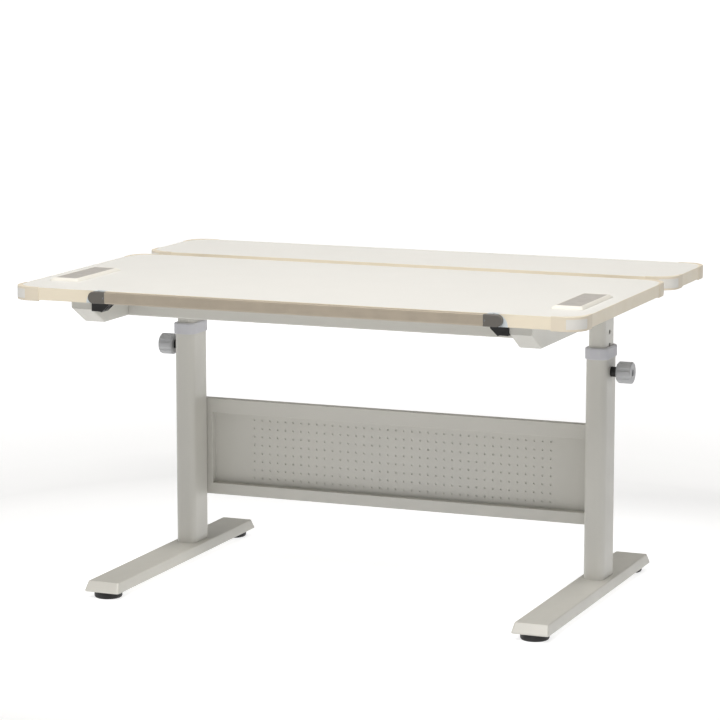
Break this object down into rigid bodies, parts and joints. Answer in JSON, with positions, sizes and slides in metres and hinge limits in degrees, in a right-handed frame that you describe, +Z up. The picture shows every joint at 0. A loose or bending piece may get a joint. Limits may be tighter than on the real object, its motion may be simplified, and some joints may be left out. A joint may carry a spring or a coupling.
{
  "type": "height-adjustable drafting table",
  "caption": "Wide white drafting table: tilting board with a sliding book stop, level rear shelf, T-shaped legs that telescope on lock pins, dimpled rear panel.",
  "frame": {"origin": "on the floor, at the middle of the table's width and depth", "axes": "+X to the right of a person seated at the table (its width), +Y to the back, +Z up"},
  "size_m": [1.202, 0.878, 0.666],
  "materials": {
    "white_laminate": "satin white melamine on particle board",
    "edge_band": "cream edge band",
    "corner_cap_plastic": "cream moulded plastic",
    "cap_insert": "soft light-grey plastic",
    "white_powder_coat": "satin white powder coat",
    "bare_steel": "zinc-plated",
    "screw_steel": "zinc-plated",
    "spring_steel": "bright wire",
    "collar_plastic": "light grey moulded plastic",
    "knob_plastic": "grey moulded plastic",
    "black_plastic": "black moulded plastic",
    "glide_rubber": "black rubber",
    "rail_aluminium": "anodised",
    "rail_cap_plastic": "dark grey moulded plastic",
    "guide_plastic": "light grey moulded plastic",
    "nylon": "natural nylon",
    "inlay_frame_plastic": "white moulded plastic",
    "inlay_pad": "grey pad"
  },
  "bodies": {
    "base": {"left_foot": "white_powder_coat", "right_foot": "white_powder_coat", "left_column": "white_powder_coat", "right_column": "white_powder_coat", "column_base_plates": "bare_steel", "column_base_bolts": "screw_steel", "column_collars": "collar_plastic", "pin_housings": "black_plastic", "glide_bosses": "bare_steel", "panel_frame": "white_powder_coat", "panel_sheet": "white_powder_coat", "panel_screws": "screw_steel"},
    "upper_frame": {"left_inner_tube": "white_powder_coat", "right_inner_tube": "white_powder_coat", "tube_shoes": "nylon", "tube_nut_plates": "bare_steel", "tube_bolts": "screw_steel", "left_arm": "white_powder_coat", "right_arm": "white_powder_coat", "front_beam": "white_powder_coat", "rear_beam": "white_powder_coat", "beam_screws": "screw_steel", "rear_shelf": "white_laminate", "rear_shelf_edge": "edge_band", "shelf_corner_caps": "corner_cap_plastic", "shelf_cap_inserts": "cap_insert", "shelf_plates": "bare_steel", "shelf_screws": "screw_steel", "hinge_pins": "bare_steel", "stay_pivot_bolts": "screw_steel", "stay_pivot_rings": "bare_steel", "rest_bumpers": "nylon"},
    "main_top": {"main_board": "white_laminate", "main_board_edge": "edge_band", "main_corner_caps": "corner_cap_plastic", "main_cap_inserts": "cap_insert", "hinge_blocks": "black_plastic", "stay_tracks": "bare_steel", "underside_screws": "screw_steel", "inlay_frames": "inlay_frame_plastic", "inlay_pads": "inlay_pad", "rail_guides": "guide_plastic"},
    "book_stop": {"rail_bar": "rail_aluminium", "left_rail_cap": "rail_cap_plastic", "right_rail_cap": "rail_cap_plastic", "rail_cap_screws": "screw_steel"},
    "left_stay_link": {"left_stay": "bare_steel", "left_stay_slider": "nylon"},
    "right_stay_link": {"right_stay": "bare_steel", "right_stay_slider": "nylon"},
    "left_pin_slide": {"left_lock_pin": "bare_steel", "left_pin_spring": "spring_steel"},
    "right_pin_slide": {"right_lock_pin": "bare_steel", "right_pin_spring": "spring_steel"},
    "left_knob_turn": {"left_knob": "knob_plastic"},
    "right_knob_turn": {"right_knob": "knob_plastic"},
    "front_left_glide_foot": {"front_left_glide": "glide_rubber"},
    "front_right_glide_foot": {"front_right_glide": "glide_rubber"},
    "rear_left_glide_foot": {"rear_left_glide": "glide_rubber"},
    "rear_right_glide_foot": {"rear_right_glide": "glide_rubber"}
  },
  "joints": [
    {"name": "table_lift", "type": "slide", "parent": "base", "child": "upper_frame", "axis": [0, 0, 1], "range_m": [-0.055, 0.11]},
    {"name": "board_tilt", "type": "hinge", "parent": "upper_frame", "child": "main_top", "pos_m": [0, -0.37, 0.62], "axis": [1, 0, 0], "range_deg": [0, 40]},
    {"name": "book_stop_slide", "type": "slide", "parent": "main_top", "child": "book_stop", "axis": [0, 0, 1], "range_m": [0, 0.014]},
    {"name": "left_stay_swing", "type": "hinge", "parent": "upper_frame", "child": "left_stay_link", "pos_m": [-0.465, -0.17, 0.62], "axis": [1, 0, 0], "range_deg": [0, 80]},
    {"name": "left_pin_pull", "type": "slide", "parent": "base", "child": "left_pin_slide", "axis": [-1, 0, 0], "range_m": [0, 0.008], "stiffness_N_per_m": 600, "springref_m": -0.006, "deforming": ["left_pin_spring"]},
    {"name": "left_knob_spin", "type": "hinge", "parent": "left_pin_slide", "child": "left_knob_turn", "pos_m": [-0.518, 0.128, 0.468], "axis": [1, 0, 0], "continuous": true},
    {"name": "front_left_glide_turn", "type": "hinge", "parent": "base", "child": "front_left_glide_foot", "pos_m": [-0.465, -0.282, 0], "axis": [0, 0, 1], "continuous": true},
    {"name": "rear_left_glide_turn", "type": "hinge", "parent": "base", "child": "rear_left_glide_foot", "pos_m": [-0.465, 0.343, 0], "axis": [0, 0, 1], "continuous": true},
    {"name": "right_stay_swing", "type": "hinge", "parent": "upper_frame", "child": "right_stay_link", "pos_m": [0.465, -0.17, 0.62], "axis": [1, 0, 0], "range_deg": [0, 80]},
    {"name": "right_pin_pull", "type": "slide", "parent": "base", "child": "right_pin_slide", "axis": [1, 0, 0], "range_m": [0, 0.008], "stiffness_N_per_m": 600, "springref_m": -0.006, "deforming": ["right_pin_spring"]},
    {"name": "right_knob_spin", "type": "hinge", "parent": "right_pin_slide", "child": "right_knob_turn", "pos_m": [0.518, 0.128, 0.468], "axis": [1, 0, 0], "continuous": true},
    {"name": "front_right_glide_turn", "type": "hinge", "parent": "base", "child": "front_right_glide_foot", "pos_m": [0.465, -0.282, 0], "axis": [0, 0, 1], "continuous": true},
    {"name": "rear_right_glide_turn", "type": "hinge", "parent": "base", "child": "rear_right_glide_foot", "pos_m": [0.465, 0.343, 0], "axis": [0, 0, 1], "continuous": true}
  ],
  "couplings": [
    {"joint": "left_stay_swing", "follows": "board_tilt", "ratio": 2},
    {"joint": "right_stay_swing", "follows": "board_tilt", "ratio": 2}
  ]
}
